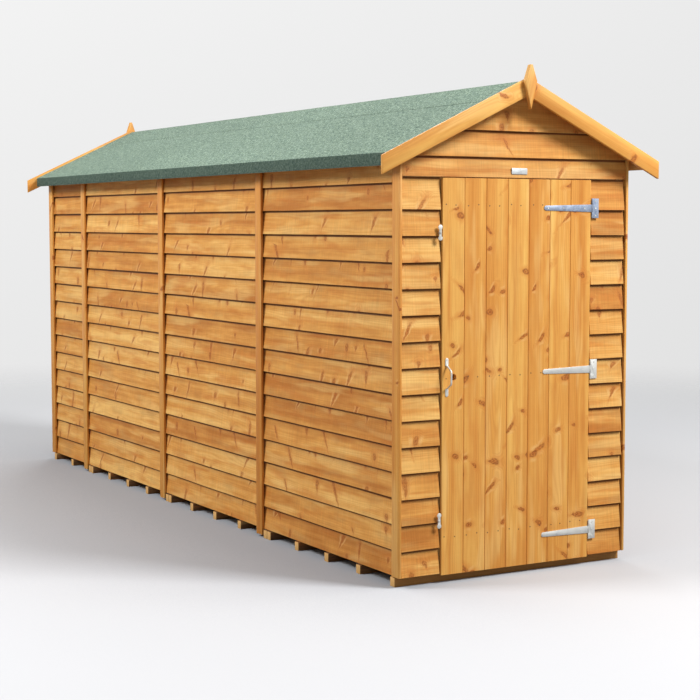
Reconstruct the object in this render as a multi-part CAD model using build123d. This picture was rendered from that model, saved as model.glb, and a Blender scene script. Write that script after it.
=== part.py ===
from build123d import *
import math
import os

# Garden shed, millimetres. Z is up and the floor bearers stand on Z = 0.
# X runs along the door gable, Y runs from the door gable at -Y to the back gable.
# The origin is the middle of the footprint, on the ground.

os.makedirs("parts", exist_ok=True)

# Overall form
width = 1200.0
length = 4320.0
ridge_z = 2131.0
roof_slope = 0.4737
eave_out = 61.0
gable_out = 49.0
joint_gap = 1.0

# Roof covering
felt_t = 3.0
roof_board_t = 12.0
eave_drop = 53.0
eave_batten_t = 20.0
barge_t = 15.0
barge_drop = 77.0
barge_rise = 12.0
barge_out = 120.0
finial_t = 20.0
finial_rise = 64.0
finial_h = 189.0
finial_shoulder = 70.0
finial_half = 30.0
finial_tip_half = 6.0

# Lapped cladding
cover_t = 12.0
cover_w = 60.0
clad_t = 14.0
lap_set = 9.0
clad_bottom_z = 43.0
lap_pitch = 110.15
least_lap = 30.0
head_below_ridge = 410.0
gable_laps = (84.0, 113.0, 112.0)
cover_hang = 31.0
board_end_gap = 8.0

# Frame
frame_w = 28.0
frame_d = 34.0
panel_len = 1200.0
first_joint = 1306.0
purlin_h = 45.0

# Floor
bearer_w = 36.0
bearer_h = 40.0
bearer_inset = 2.0
deck_t = 12.0
deck_len = 1198.0
first_deck_joint = 1225.0
first_bearer_y = 38.0
section_bearers = (5, 5, 5, 3)

# Door
door_gap = 5.0
lock_side_w = 208.0
hang_side_w = 212.0
leaf_bottom_z = 36.0
leaf_t = 12.0
leaf_proud = 3.0
leaf_boards = 7
groove_w = 4.0
groove_d = 3.0
post_lap = 11.0
head_lap = 6.0
ledge_w = 70.0
ledge_t = 20.0
low_ledge_up = 165.0
middle_ledge_z = 876.0
top_ledge_down = 112.0
brace_w = 60.0
latch_hole_r = 14.0
latch_hole_in = 59.0
latch_hole_z = 879.0
drill_past = 10.0

# T hinges
pin_r = 2.2
pin_fit = 0.3
barrel_r = 4.0
barrel_out = 5.0
strap_len = 255.0
strap_root = 33.0
strap_tip = 20.0
strap_t = 2.5
strap_nose = 6.0
strap_back = 0.5
hinge_plate_w = 33.0
hinge_plate_h = 86.0
hinge_plate_t = 2.0
low_hinge_up = 124.0
middle_hinge_z = 881.0
top_hinge_down = 123.0
barrel_clear = 0.5
plate_back = 1.0

# Pull handle and turn buttons
handle_in = 24.0
handle_z = 880.0
handle_span = 128.0
handle_foot = 36.0
foot_t = 2.5
handle_foot_w = 15.0
handle_out = 40.0
handle_bar = 8.0
handle_bend = 16.0
button_out = 15.0
low_button_up = 237.0
top_button_down = 228.0
button_len = 66.0
button_end = 20.0
button_waist = 12.0
button_t = 3.0
button_lift = 8.5
button_screw_r = 2.5
button_fit = 0.3
button_washer_r = 5.0
button_head_t = 2.5

# Sizes that follow
half_w = width / 2
front_y = -length / 2
back_y = length / 2
angle = math.atan(roof_slope)
clad_out = half_w - cover_t
clad_in = clad_out - clad_t
frame_in = clad_in - frame_d
frame_y = clad_t
deck_z = bearer_h + deck_t
eave_x = half_w + eave_out
purlin_x = half_w / 2
roof_under = felt_t + roof_board_t
roof_y = front_y - gable_out
door_head_z = ridge_z - head_below_ridge
leaf_top_z = door_head_z - door_gap
leaf_left = -half_w + lock_side_w
leaf_right = half_w - hang_side_w
hinge_x = leaf_right + door_gap
ledge_zs = (leaf_bottom_z + low_ledge_up, middle_ledge_z, leaf_top_z - top_ledge_down)
hinge_zs = (leaf_bottom_z + low_hinge_up, middle_hinge_z, leaf_top_z - top_hinge_down)
button_zs = (leaf_bottom_z + low_button_up, leaf_top_z - top_button_down)
latch_hole_x = leaf_left + latch_hole_in
handle_x = leaf_left + handle_in
button_x = leaf_left - button_out
panel_joints = [first_joint + panel_len * number for number in range(3)]
deck_joints = [first_deck_joint + deck_len * number for number in range(3)]
last_bearer_y = length - first_bearer_y
barge_y = front_y - gable_out - barge_t


def roof_z(x, drop):
    """Height of the roof plane at x, drop millimetres below the top of the felt."""
    return ridge_z - roof_slope * abs(x) - drop / math.cos(angle)


def xz_prism(points, y0, y1):
    """Solid with an outline drawn in X and Z, from y0 to y1."""
    outline = Polyline([Vector(x, y0, z) for x, z in points], close=True)
    return extrude(make_face(outline), amount=y1 - y0, dir=(0, 1, 0))


def yz_prism(points, x0, x1):
    """Solid with an outline drawn in Y and Z, from x0 to x1."""
    outline = Polyline([Vector(x0, y, z) for y, z in points], close=True)
    return extrude(make_face(outline), amount=x1 - x0, dir=(1, 0, 0))


def block(x0, x1, y0, y1, z0, z1):
    """Square timber between two corners."""
    return xz_prism([(x0, z0), (x1, z0), (x1, z1), (x0, z1)], y0, y1)


def even_laps(low_z, top_z):
    """Lower edges of evenly lapped boards from low_z up to top_z."""
    count = int((top_z - least_lap - low_z) / lap_pitch) + 1
    return [low_z + lap_pitch * number for number in range(count)]


def lapped_profile(lap_heights, top_z):
    """Section of lapped boards as (depth in from the butts, height).

    Each board stands proud at its lower edge and runs back under the next one.
    """
    points = []
    heights = list(lap_heights) + [top_z]
    for low, high in zip(heights[:-1], heights[1:]):
        share = min(1.0, (high - low) / lap_pitch)
        points.append((0.0, low))
        points.append((lap_set * share, high))
    points.append((clad_t, top_z))
    points.append((clad_t, lap_heights[0]))
    return points


def lap_depth(z):
    """How far the face of the lapped boards lies behind their butts at a height."""
    return lap_set * (((z - clad_bottom_z) / lap_pitch) % 1.0)


def mirrored(part):
    return mirror(part, about=Plane.YZ)


def turned_end(part):
    return mirror(part, about=Plane.XZ)


def save(part, name):
    part.label = name
    export_step(part, "parts/" + name + ".step")


def save_all(solids, name):
    save(Compound(children=list(solids)), name)


# Floor: bearers across the shed, in pairs where two floor sections meet
deck_edges = [frame_y] + deck_joints + [length - frame_y]
bearers = []
for index, count in enumerate(section_bearers):
    start = first_bearer_y if index == 0 else deck_joints[index - 1] + joint_gap
    stop = last_bearer_y if index == 3 else deck_joints[index] - joint_gap
    step = (stop - start - bearer_w) / (count - 1)
    for number in range(count):
        y0 = front_y + start + number * step
        bearers.append(block(-half_w + bearer_inset, half_w - bearer_inset, y0, y0 + bearer_w, 0, bearer_h))
save_all(bearers, "floor_bearers")

decks = []
for y0, y1 in zip(deck_edges[:-1], deck_edges[1:]):
    low = front_y + y0 + joint_gap / 2
    high = front_y + y1 - joint_gap / 2
    decks.append(block(-clad_in, clad_in, low, high, bearer_h, deck_z))
save_all(decks, "floor_deck")

# Side walls: lapped cladding in four panels, with the frame behind it
side_top_z = roof_z(clad_out, roof_under) - joint_gap
side_section = lapped_profile(even_laps(clad_bottom_z, side_top_z), side_top_z)
panel_edges = [clad_t] + panel_joints + [length - clad_t]
for number, (y0, y1) in enumerate(zip(panel_edges[:-1], panel_edges[1:]), start=1):
    points = [(-clad_out + depth, z) for depth, z in side_section]
    cladding = xz_prism(points, front_y + y0, front_y + y1)
    save(cladding, "left_cladding_" + str(number))
    save(mirrored(cladding), "right_cladding_" + str(number))

rail_low_z = deck_z + frame_w
rail_top_z = roof_z(clad_in, roof_under) - frame_d
frame_edges = [frame_y + frame_d] + panel_joints + [length - frame_y - frame_d]
rails = []
studs = []
for number, (y0, y1) in enumerate(zip(frame_edges[:-1], frame_edges[1:])):
    low = front_y + y0 + joint_gap
    high = front_y + y1 - joint_gap
    rails.append(block(-clad_in, -frame_in, low, high, deck_z, rail_low_z))
    top_rail = [
        (-clad_in, rail_top_z),
        (-frame_in, rail_top_z),
        (-frame_in, roof_z(frame_in, roof_under)),
        (-clad_in, roof_z(clad_in, roof_under)),
    ]
    rails.append(xz_prism(top_rail, low, high))
    count = 2 if number == 3 else 3
    for place in range(count):
        y = low + place * (high - low - frame_w) / (count - 1)
        studs.append(block(-clad_in, -frame_in, y, y + frame_w, rail_low_z, rail_top_z))
save_all(rails, "left_wall_rails")
save_all([mirrored(part) for part in rails], "right_wall_rails")
save_all(studs, "left_wall_studs")
save_all([mirrored(part) for part in studs], "right_wall_studs")

cover_top_z = roof_z(half_w, roof_under) - joint_gap
cover_bottom_z = clad_bottom_z - cover_hang
covers = []
for joint in panel_joints:
    y0 = front_y + joint - cover_w / 2
    covers.append(block(-half_w, -clad_out, y0, y0 + cover_w, cover_bottom_z, cover_top_z))
save_all(covers, "left_cover_strips")
save_all([mirrored(part) for part in covers], "right_cover_strips")

corner = block(-half_w, -clad_out, front_y, front_y + cover_w, clad_bottom_z, cover_top_z)
corners = [corner, mirrored(corner), turned_end(corner), mirrored(turned_end(corner))]
save_all(corners, "corner_strips")

# Door gable: lapped cladding beside and over the doorway
front_section = lapped_profile(even_laps(clad_bottom_z, door_head_z), door_head_z)
beside = [(front_y + depth, z) for depth, z in front_section]
save(yz_prism(beside, -clad_out, leaf_left - door_gap), "front_cladding_left")
save(yz_prism(beside, hinge_x, clad_out - board_end_gap), "front_cladding_right")

gable_heights = [door_head_z]
for rise in gable_laps:
    gable_heights.append(gable_heights[-1] + rise)
gable_section = lapped_profile(gable_heights, ridge_z)
gable_outline = [
    (-clad_out, door_head_z),
    (clad_out, door_head_z),
    (clad_out, roof_z(clad_out, roof_under)),
    (0.0, roof_z(0.0, roof_under)),
    (-clad_out, roof_z(clad_out, roof_under)),
]
over = yz_prism([(front_y + depth, z) for depth, z in gable_section], -half_w, half_w)
over = over & xz_prism(gable_outline, front_y - 10, front_y + 40)
save(over.solid(), "front_gable_cladding")

# Back gable: one lapped wall up to the roof
back_section = lapped_profile(even_laps(clad_bottom_z, ridge_z), ridge_z)
back_outline = [(-clad_out, clad_bottom_z), (clad_out, clad_bottom_z)] + gable_outline[2:]
back = yz_prism([(front_y + depth, z) for depth, z in back_section], -half_w, half_w)
back = back & xz_prism(back_outline, front_y - 10, front_y + 40)
save(turned_end(back.solid()), "back_cladding")

# Gable frames: posts, rails and rafters behind the gable cladding
post_y0 = front_y + frame_y
post_y1 = post_y0 + frame_d
rafter_drop = roof_under + frame_w
head_top_z = leaf_top_z - head_lap + frame_w
head_low_z = head_top_z - frame_w
corner_post = [
    (-clad_in, deck_z),
    (-frame_in, deck_z),
    (-frame_in, roof_z(frame_in, rafter_drop)),
    (-clad_in, roof_z(clad_in, rafter_drop)),
]
left_corner = xz_prism(corner_post, post_y0, post_y1)
king_post = [
    (-frame_w / 2, head_top_z),
    (frame_w / 2, head_top_z),
    (frame_w / 2, roof_z(frame_w / 2, rafter_drop)),
    (0.0, roof_z(0.0, rafter_drop)),
    (-frame_w / 2, roof_z(frame_w / 2, rafter_drop)),
]
king = xz_prism(king_post, post_y0, post_y1)
lock_post_x = leaf_left + post_lap
hang_post_x = leaf_right - post_lap
lock_post = block(lock_post_x - frame_d, lock_post_x, post_y0, post_y1, deck_z, head_low_z)
hang_post = block(hang_post_x, hang_post_x + frame_d, post_y0, post_y1, deck_z, head_low_z)
save_all([left_corner, mirrored(left_corner), king, lock_post, hang_post], "front_posts")

head_rail = block(-frame_in, frame_in, post_y0, post_y1, head_low_z, head_top_z)
left_sill = block(-frame_in, lock_post_x - frame_d, post_y0, post_y1, deck_z, rail_low_z)
right_sill = block(hang_post_x + frame_d, frame_in, post_y0, post_y1, deck_z, rail_low_z)
save_all([head_rail, left_sill, right_sill], "front_rails")

rafter = [
    (-clad_in, roof_z(clad_in, rafter_drop)),
    (-joint_gap / 2, roof_z(joint_gap / 2, rafter_drop)),
    (-joint_gap / 2, roof_z(joint_gap / 2, roof_under)),
    (-clad_in, roof_z(clad_in, roof_under)),
]
left_rafter = xz_prism(rafter, post_y0, post_y1)
save_all([left_rafter, mirrored(left_rafter)], "front_rafters")
save_all([turned_end(left_rafter), turned_end(mirrored(left_rafter))], "back_rafters")

back_middle = block(-frame_w / 2, frame_w / 2, post_y0, post_y1, rail_low_z, head_low_z)
back_posts = [left_corner, mirrored(left_corner), king, back_middle]
save_all([turned_end(part) for part in back_posts], "back_posts")
back_sill = block(-frame_in, frame_in, post_y0, post_y1, deck_z, rail_low_z)
save_all([turned_end(head_rail), turned_end(back_sill)], "back_rails")

# Roof: boards and felt on a ridge beam, two purlins and the side walls
board = [
    (0.0, roof_z(0.0, felt_t)),
    (-eave_x + felt_t, roof_z(eave_x - felt_t, felt_t)),
    (-eave_x + felt_t, roof_z(eave_x - felt_t, roof_under)),
    (0.0, roof_z(0.0, roof_under)),
]
left_boards = xz_prism(board, roof_y, -roof_y)
save(left_boards, "roof_boards_left")
save(mirrored(left_boards), "roof_boards_right")

batten_out = eave_x - felt_t
eave_bottom_z = roof_z(eave_x, 0.0) - eave_drop
felt = [
    (0.0, roof_z(0.0, 0.0)),
    (-eave_x, roof_z(eave_x, 0.0)),
    (-eave_x, eave_bottom_z),
    (-eave_x + felt_t, eave_bottom_z),
    (-eave_x + felt_t, roof_z(eave_x - felt_t, felt_t)),
    (0.0, roof_z(0.0, felt_t)),
]
left_felt = xz_prism(felt, roof_y, -roof_y)
save(left_felt, "roof_felt_left")
save(mirrored(left_felt), "roof_felt_right")

batten_in = batten_out - eave_batten_t
batten = [
    (-batten_out, eave_bottom_z),
    (-batten_in, eave_bottom_z),
    (-batten_in, roof_z(batten_in, roof_under)),
    (-batten_out, roof_z(batten_out, roof_under)),
]
left_batten = xz_prism(batten, roof_y, -roof_y)
save_all([left_batten, mirrored(left_batten)], "eave_battens")

beam_top = roof_z(frame_w / 2, roof_under)
ridge_beam = [
    (-frame_w / 2, beam_top - purlin_h),
    (frame_w / 2, beam_top - purlin_h),
    (frame_w / 2, beam_top),
    (0.0, roof_z(0.0, roof_under)),
    (-frame_w / 2, beam_top),
]
purlin_out = purlin_x + frame_w / 2
purlin_in = purlin_x - frame_w / 2
purlin = [
    (-purlin_out, roof_z(purlin_out, roof_under) - purlin_h),
    (-purlin_in, roof_z(purlin_out, roof_under) - purlin_h),
    (-purlin_in, roof_z(purlin_in, roof_under)),
    (-purlin_out, roof_z(purlin_out, roof_under)),
]
beam = xz_prism(ridge_beam, post_y1, -post_y1)
left_purlin = xz_prism(purlin, post_y1, -post_y1)
save_all([beam, left_purlin, mirrored(left_purlin)], "roof_purlins")

barge_top_z = ridge_z + barge_rise
barge_x = half_w + barge_out
barge = [
    (-joint_gap / 2, barge_top_z - roof_slope * joint_gap / 2),
    (-barge_x, barge_top_z - roof_slope * barge_x),
    (-barge_x, barge_top_z - roof_slope * barge_x - barge_drop),
    (-joint_gap / 2, barge_top_z - roof_slope * joint_gap / 2 - barge_drop),
]
left_barge = xz_prism(barge, barge_y, barge_y + barge_t)
right_barge = mirrored(left_barge)
save_all([left_barge, right_barge], "front_bargeboards")
save_all([turned_end(left_barge), turned_end(right_barge)], "back_bargeboards")

finial_top_z = ridge_z + finial_rise
finial_bottom_z = finial_top_z - finial_h
finial_wide_z = finial_top_z - finial_shoulder
kite = [
    (0.0, finial_bottom_z),
    (finial_half, finial_wide_z),
    (finial_tip_half, finial_top_z),
    (-finial_tip_half, finial_top_z),
    (-finial_half, finial_wide_z),
]
finial = xz_prism(kite, barge_y - finial_t, barge_y)
save_all([finial, turned_end(finial)], "gable_finials")

# Door leaf: tongue and groove boards, read as one leaf with a vee at each joint
leaf_y0 = front_y - leaf_proud
leaf_y1 = leaf_y0 + leaf_t
board_w = (leaf_right - leaf_left) / leaf_boards
leaf_section = [(leaf_left, leaf_y0)]
for number in range(1, leaf_boards):
    x = leaf_left + number * board_w
    leaf_section.append((x - groove_w / 2, leaf_y0))
    leaf_section.append((x, leaf_y0 + groove_d))
    leaf_section.append((x + groove_w / 2, leaf_y0))
leaf_section += [(leaf_right, leaf_y0), (leaf_right, leaf_y1), (leaf_left, leaf_y1)]
leaf_outline = Polyline([Vector(x, y, leaf_bottom_z) for x, y in leaf_section], close=True)
leaf = extrude(make_face(leaf_outline), amount=leaf_top_z - leaf_bottom_z, dir=(0, 0, 1))
hole_place = Plane(origin=(latch_hole_x, leaf_y0 - drill_past, latch_hole_z), z_dir=(0, 1, 0))
hole = extrude(hole_place * Circle(latch_hole_r), amount=leaf_t + ledge_t + 2 * drill_past)
save((leaf - hole).solid(), "door_leaf")

ledge_x0 = lock_post_x + door_gap
ledge_x1 = hang_post_x - door_gap
ledge_y1 = leaf_y1 + ledge_t
ledges = []
for z in ledge_zs:
    ledges.append(block(ledge_x0, ledge_x1, leaf_y1, ledge_y1, z - ledge_w / 2, z + ledge_w / 2))
ledges[1] = (ledges[1] - hole).solid()
save_all(ledges, "door_ledges")

braces = []
for low, high in zip(ledge_zs[:-1], ledge_zs[1:]):
    z0 = low + ledge_w / 2
    z1 = high - ledge_w / 2
    foot = brace_w * math.hypot(ledge_x1 - ledge_x0, z1 - z0) / (z1 - z0)
    outline = [(ledge_x1, z0), (ledge_x1 - foot, z0), (ledge_x0, z1), (ledge_x0 + foot, z1)]
    braces.append(xz_prism(outline, leaf_y1, ledge_y1))
save_all(braces, "door_braces")

# T hinges: a tapered strap and its barrel turn on a pin held by the plate
hinge_y = front_y - barrel_out
barrel_h = strap_root
straps = []
plates = []
for z in hinge_zs:
    strap_outline = [
        (hinge_x - strap_back, z - strap_root / 2),
        (hinge_x - strap_back, z + strap_root / 2),
        (hinge_x - strap_len, z + strap_tip / 2),
        (hinge_x - strap_len - strap_nose, z + strap_tip / 4),
        (hinge_x - strap_len - strap_nose, z - strap_tip / 4),
        (hinge_x - strap_len, z - strap_tip / 2),
    ]
    strap = xz_prism(strap_outline, leaf_y0 - strap_t, leaf_y0)
    base = Plane(origin=(hinge_x, hinge_y, z - barrel_h / 2), z_dir=(0, 0, 1))
    barrel = extrude(base * Circle(barrel_r), amount=barrel_h)
    bore = extrude(base * Circle(pin_r + pin_fit), amount=barrel_h)
    straps.append((strap + barrel - bore).solid())

    plate_x0 = hinge_x + barrel_r + plate_back
    low = z - hinge_plate_h / 2
    plate_x1 = plate_x0 + hinge_plate_w
    plate = block(hinge_x, plate_x1, front_y - hinge_plate_t, front_y, low, low + hinge_plate_h)
    clear = barrel_h / 2 + barrel_clear
    window = block(hinge_x - 10, plate_x0, front_y - 20, front_y + 10, z - clear, z + clear)
    lower = Plane(origin=(hinge_x, hinge_y, low), z_dir=(0, 0, 1))
    upper = Plane(origin=(hinge_x, hinge_y, z + clear), z_dir=(0, 0, 1))
    knuckle_h = hinge_plate_h / 2 - clear
    knuckles = extrude(lower * Circle(barrel_r), amount=knuckle_h)
    knuckles += extrude(upper * Circle(barrel_r), amount=knuckle_h)
    pin = extrude(lower * Circle(pin_r), amount=hinge_plate_h)
    plates.append((plate - window + knuckles + pin).solid())
save_all(straps, "door_hinge_straps")
save_all(plates, "hinge_plates")

# Pull handle: a round bar bowed out between two flat feet
inner = handle_span / 2 - handle_foot / 4
out_y = leaf_y0 - handle_out + handle_bar / 2
path = FilletPolyline(
    Vector(handle_x, leaf_y0 + handle_bar, handle_z - inner),
    Vector(handle_x, out_y, handle_z - inner * 0.5),
    Vector(handle_x, out_y, handle_z + inner * 0.5),
    Vector(handle_x, leaf_y0 + handle_bar, handle_z + inner),
    radius=handle_bend,
)
handle = sweep(Plane(origin=path @ 0, z_dir=path % 0) * Circle(handle_bar / 2), path=path)
for side in (-1, 1):
    z = handle_z + side * handle_span / 2
    pad = Plane(origin=(handle_x, leaf_y0 - foot_t, z), x_dir=(1, 0, 0), z_dir=(0, 1, 0))
    handle += extrude(pad * SlotOverall(handle_foot, handle_foot_w, rotation=90), amount=foot_t)
handle -= block(handle_x - 30, handle_x + 30, leaf_y0, leaf_y0 + 40, handle_z - 100, handle_z + 100)
save(handle.solid(), "pull_handle")

# Turn buttons: waisted plates on a screw beside the door's closing edge
half = button_len / 2
screws = []
for z, name in zip(button_zs, ("turn_button_lower", "turn_button_upper")):
    button_y = front_y - button_lift
    at = Plane(origin=(button_x, button_y, z), x_dir=(1, 0, 0), z_dir=(0, -1, 0))
    shape = at * Rectangle(button_waist, button_len - button_end)
    for side in (-1, 1):
        shape += at * Pos(0, side * (half - button_end / 2)) * Circle(button_end / 2)
    shape -= at * Circle(button_screw_r + button_fit)
    save(extrude(shape, amount=button_t).solid(), name)
    seat_y = front_y + lap_depth(z - button_washer_r)
    seat = Plane(origin=(button_x, seat_y, z), z_dir=(0, -1, 0))
    head_y = button_y - button_t - button_fit
    head = Plane(origin=(button_x, head_y, z), z_dir=(0, -1, 0))
    screw = extrude(seat * Circle(button_screw_r), amount=seat_y - head_y)
    screw += extrude(seat * Circle(button_washer_r), amount=seat_y - button_y - button_fit)
    screw += extrude(head * Circle(button_washer_r), amount=button_head_t)
    screws.append(screw.solid())
save_all(screws, "turn_button_screws")
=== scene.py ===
import math
import random

import bpy
from mathutils import Matrix, Vector


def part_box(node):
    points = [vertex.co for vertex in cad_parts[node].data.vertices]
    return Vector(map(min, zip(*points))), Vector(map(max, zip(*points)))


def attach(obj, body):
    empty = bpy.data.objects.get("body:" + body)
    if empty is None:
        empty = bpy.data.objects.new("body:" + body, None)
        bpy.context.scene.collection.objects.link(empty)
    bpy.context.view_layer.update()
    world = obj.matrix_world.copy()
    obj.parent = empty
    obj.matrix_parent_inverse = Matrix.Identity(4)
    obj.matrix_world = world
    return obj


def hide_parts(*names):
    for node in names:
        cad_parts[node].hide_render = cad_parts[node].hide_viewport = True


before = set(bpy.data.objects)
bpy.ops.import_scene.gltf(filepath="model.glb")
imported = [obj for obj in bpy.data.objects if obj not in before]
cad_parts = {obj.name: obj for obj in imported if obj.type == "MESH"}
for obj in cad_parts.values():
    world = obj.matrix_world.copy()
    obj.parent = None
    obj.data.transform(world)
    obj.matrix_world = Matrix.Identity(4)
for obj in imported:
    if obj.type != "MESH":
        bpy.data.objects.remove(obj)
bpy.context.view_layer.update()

dice = random.Random(41)
for spare in ("Cube", "Light", "Camera"):  # what a new Blender file opens with
    if spare in bpy.data.objects:
        bpy.data.objects.remove(bpy.data.objects[spare], do_unlink=True)
print("frame loaded:", len(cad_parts), "nodes")


# Small helpers for selecting, shaping and finishing a mesh
mesh = {"merge": 0.00002, "flat": math.radians(1), "timberEdge": 0.0012}


def deselectAll():
    if bpy.context.mode != "OBJECT":
        bpy.ops.object.mode_set(mode="OBJECT")
    bpy.ops.object.select_all(action="DESELECT")


def makeActive(obj):
    deselectAll()
    obj.select_set(True)
    bpy.context.view_layer.objects.active = obj


def applyPlace(obj):
    makeActive(obj)
    bpy.ops.object.transform_apply(location=True, rotation=True, scale=True)


def newBox(name, low, high):
    # a cube primitive between two corners, with its place in its mesh
    deselectAll()
    middle = [(a + b) / 2 for a, b in zip(low, high)]
    size = [b - a for a, b in zip(low, high)]
    bpy.ops.mesh.primitive_cube_add(size=1, location=middle, scale=size)
    obj = bpy.context.active_object
    obj.name = name
    applyPlace(obj)
    return obj


def editVerts(obj, test):
    # opens the mesh with the vertices that pass the test selected
    makeActive(obj)
    bpy.context.tool_settings.mesh_select_mode = (True, False, False)
    bpy.ops.object.mode_set(mode="EDIT")
    bpy.ops.mesh.select_all(action="DESELECT")
    bpy.ops.object.mode_set(mode="OBJECT")
    for vertex in obj.data.vertices:
        vertex.select = test(vertex.co)
    bpy.ops.object.mode_set(mode="EDIT")


def editEdges(obj, test):
    # opens the mesh with the edges that pass the test selected; the test gets both ends
    makeActive(obj)
    bpy.context.tool_settings.mesh_select_mode = (False, True, False)
    bpy.ops.object.mode_set(mode="EDIT")
    bpy.ops.mesh.select_all(action="DESELECT")
    bpy.ops.object.mode_set(mode="OBJECT")
    points = obj.data.vertices
    for edge in obj.data.edges:
        edge.select = test(points[edge.vertices[0]].co, points[edge.vertices[1]].co)
    bpy.ops.object.mode_set(mode="EDIT")


def editAll(obj):
    makeActive(obj)
    bpy.ops.object.mode_set(mode="EDIT")
    bpy.ops.mesh.select_all(action="SELECT")


def closeEdit():
    bpy.ops.object.mode_set(mode="OBJECT")


def applyModifier(obj, kind, **settings):
    makeActive(obj)
    modifier = obj.modifiers.new(kind.lower(), kind)
    for key, value in settings.items():
        setattr(modifier, key, value)
    bpy.ops.object.modifier_apply(modifier=modifier.name)


def easeEdges(obj, width, segments=2, angle=30):
    applyModifier(
        obj, "BEVEL", width=width, segments=segments, limit_method="ANGLE",
        angle_limit=math.radians(angle), use_clamp_overlap=True,
    )


def rippled(obj, name, scale, strength, middle):
    # a slow waviness, up and down, so that nothing runs dead straight
    ripple = bpy.data.textures.get(name) or bpy.data.textures.new(name, "CLOUDS")
    ripple.noise_scale = scale
    applyModifier(
        obj, "DISPLACE", texture=ripple, texture_coords="LOCAL", direction="Z",
        strength=strength, mid_level=middle,
    )


def shadeByAngle(obj, angle=40):
    makeActive(obj)
    bpy.ops.object.shade_smooth_by_angle(angle=math.radians(angle))


def copyOf(source, name):
    twin = bpy.data.objects.new(name, source.data.copy())
    bpy.context.scene.collection.objects.link(twin)
    return twin


def joinAll(parts, name):
    deselectAll()
    for part in parts:
        part.select_set(True)
    bpy.context.view_layer.objects.active = parts[0]
    if len(parts) > 1:
        bpy.ops.object.join()
    joined = bpy.context.active_object
    joined.name = name
    joined.data.name = name
    return joined


def discard(obj):
    bpy.data.objects.remove(obj, do_unlink=True)


def cutBelow(obj, point, normal):
    # keeps what lies on the near side of a plane and closes the cut
    editAll(obj)
    bpy.ops.mesh.bisect(plane_co=point, plane_no=normal, use_fill=True, clear_outer=True)
    closeEdit()


def finishPiece(obj, body, slot, material, *nodes):
    obj.data.materials.clear()
    obj.data.materials.append(material)
    if nodes:
        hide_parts(*nodes)
    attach(obj, body)
    return obj


# The grain of each board: its own coordinates, along, across and through the wood

def markGrain(obj, along, across, through, lapAt=1.0, tone=None):
    # every board gets its own stretch of the wood, its own tone and how far it is under the next lap
    data = obj.data
    shift = Vector((dice.uniform(0, 60), dice.uniform(-0.05, 0.05), dice.uniform(0.02, 0.09)))
    tone = dice.random() if tone is None else tone
    start = min((along.dot(v.co) for v in data.vertices))
    centre = sum((v.co for v in data.vertices), Vector()) / len(data.vertices)
    places = []
    for vertex in data.vertices:
        away = vertex.co - centre
        place = Vector((along.dot(vertex.co) - start, across.dot(away), through.dot(away)))
        places.extend(place + shift)
    data.attributes.new("grain", "FLOAT_VECTOR", "POINT").data.foreach_set("vector", places)
    data.attributes.new("tone", "FLOAT", "POINT").data.foreach_set("value", [tone] * len(data.vertices))
    below = [lapAt - vertex.co.z for vertex in data.vertices]
    data.attributes.new("underLap", "FLOAT", "POINT").data.foreach_set("value", below)


def grainAxes(obj):
    # the longest edge gives the run of the grain, and the wider of the other two its face
    points = [v.co.copy() for v in obj.data.vertices]
    ends = [(points[e.vertices[0]], points[e.vertices[1]]) for e in obj.data.edges]
    first, second = max(ends, key=lambda pair: (pair[0] - pair[1]).length)
    along = (second - first).normalized()
    squarest = min(
        (abs(along.dot((b - a).normalized())), tuple((b - a).normalized()))
        for a, b in ends if (b - a).length > 0.004
    )
    side = Vector(squarest[1])
    side = (side - along * along.dot(side)).normalized()
    other = along.cross(side)
    spans = [[axis.dot(point) for point in points] for axis in (side, other)]
    wide, thick = (max(span) - min(span) for span in spans)
    if wide >= thick:
        return along, side, other
    return along, other, side


def mergedCopy(node, name, loose=False, flatten=True):
    # a copy of a CAD node with its shared points merged, its flat faces made whole, or its pieces apart
    twin = copyOf(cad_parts[node], name)
    editAll(twin)
    bpy.ops.mesh.remove_doubles(threshold=mesh["merge"])
    if flatten:
        bpy.ops.mesh.dissolve_limited(angle_limit=mesh["flat"])
    if loose:
        bpy.ops.mesh.separate(type="LOOSE")
    closeEdit()
    return list(bpy.context.selected_objects) if loose else twin


def timberFrom(node, name, body, slot, material, tone=None):
    # eased timbers in the place of a CAD node's square ones, each with its own grain
    parts = mergedCopy(node, name, loose=True)
    for part in parts:
        markGrain(part, *grainAxes(part), tone=tone)
        easeEdges(part, mesh["timberEdge"])
    whole = joinAll(parts, name)
    shadeByAngle(whole)
    return finishPiece(whole, body, slot, material, node)


# Materials

def paint(red, green, blue):
    # a colour written as on screen, 0 to 255, as the shader wants it
    linear = []
    for part in (red, green, blue):
        part = part / 255
        linear.append(part / 12.92 if part <= 0.04045 else ((part + 0.055) / 1.055) ** 2.4)
    return (linear[0], linear[1], linear[2], 1.0)


def put(tree, kind, inputs=None, **fields):
    # adds a node: fields are its settings, inputs are sockets to link or values to set
    node = tree.nodes.new(kind)
    for field, value in fields.items():
        setattr(node, field, value)
    for socket, value in (inputs or {}).items():
        if isinstance(value, bpy.types.NodeSocket):
            tree.links.new(value, node.inputs[socket])
        else:
            node.inputs[socket].default_value = value
    return node.outputs


def work(tree, operation, *values):
    return put(tree, "ShaderNodeMath", dict(enumerate(values)), operation=operation)[0]


def between(tree, value, low, high, newLow=0.0, newHigh=1.0, kind="SMOOTHSTEP"):
    inputs = {"Value": value, "From Min": low, "From Max": high, "To Min": newLow, "To Max": newHigh}
    return put(tree, "ShaderNodeMapRange", inputs, interpolation_type=kind)[0]


def stretched(tree, vector, scale):
    return put(tree, "ShaderNodeVectorMath", {0: vector, 1: scale}, operation="MULTIPLY")[0]


def noise(tree, vector, scale=1.0, detail=2.0, roughness=0.5):
    inputs = {"Vector": vector, "Scale": scale, "Detail": detail, "Roughness": roughness}
    return put(tree, "ShaderNodeTexNoise", inputs)["Fac"]


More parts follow.
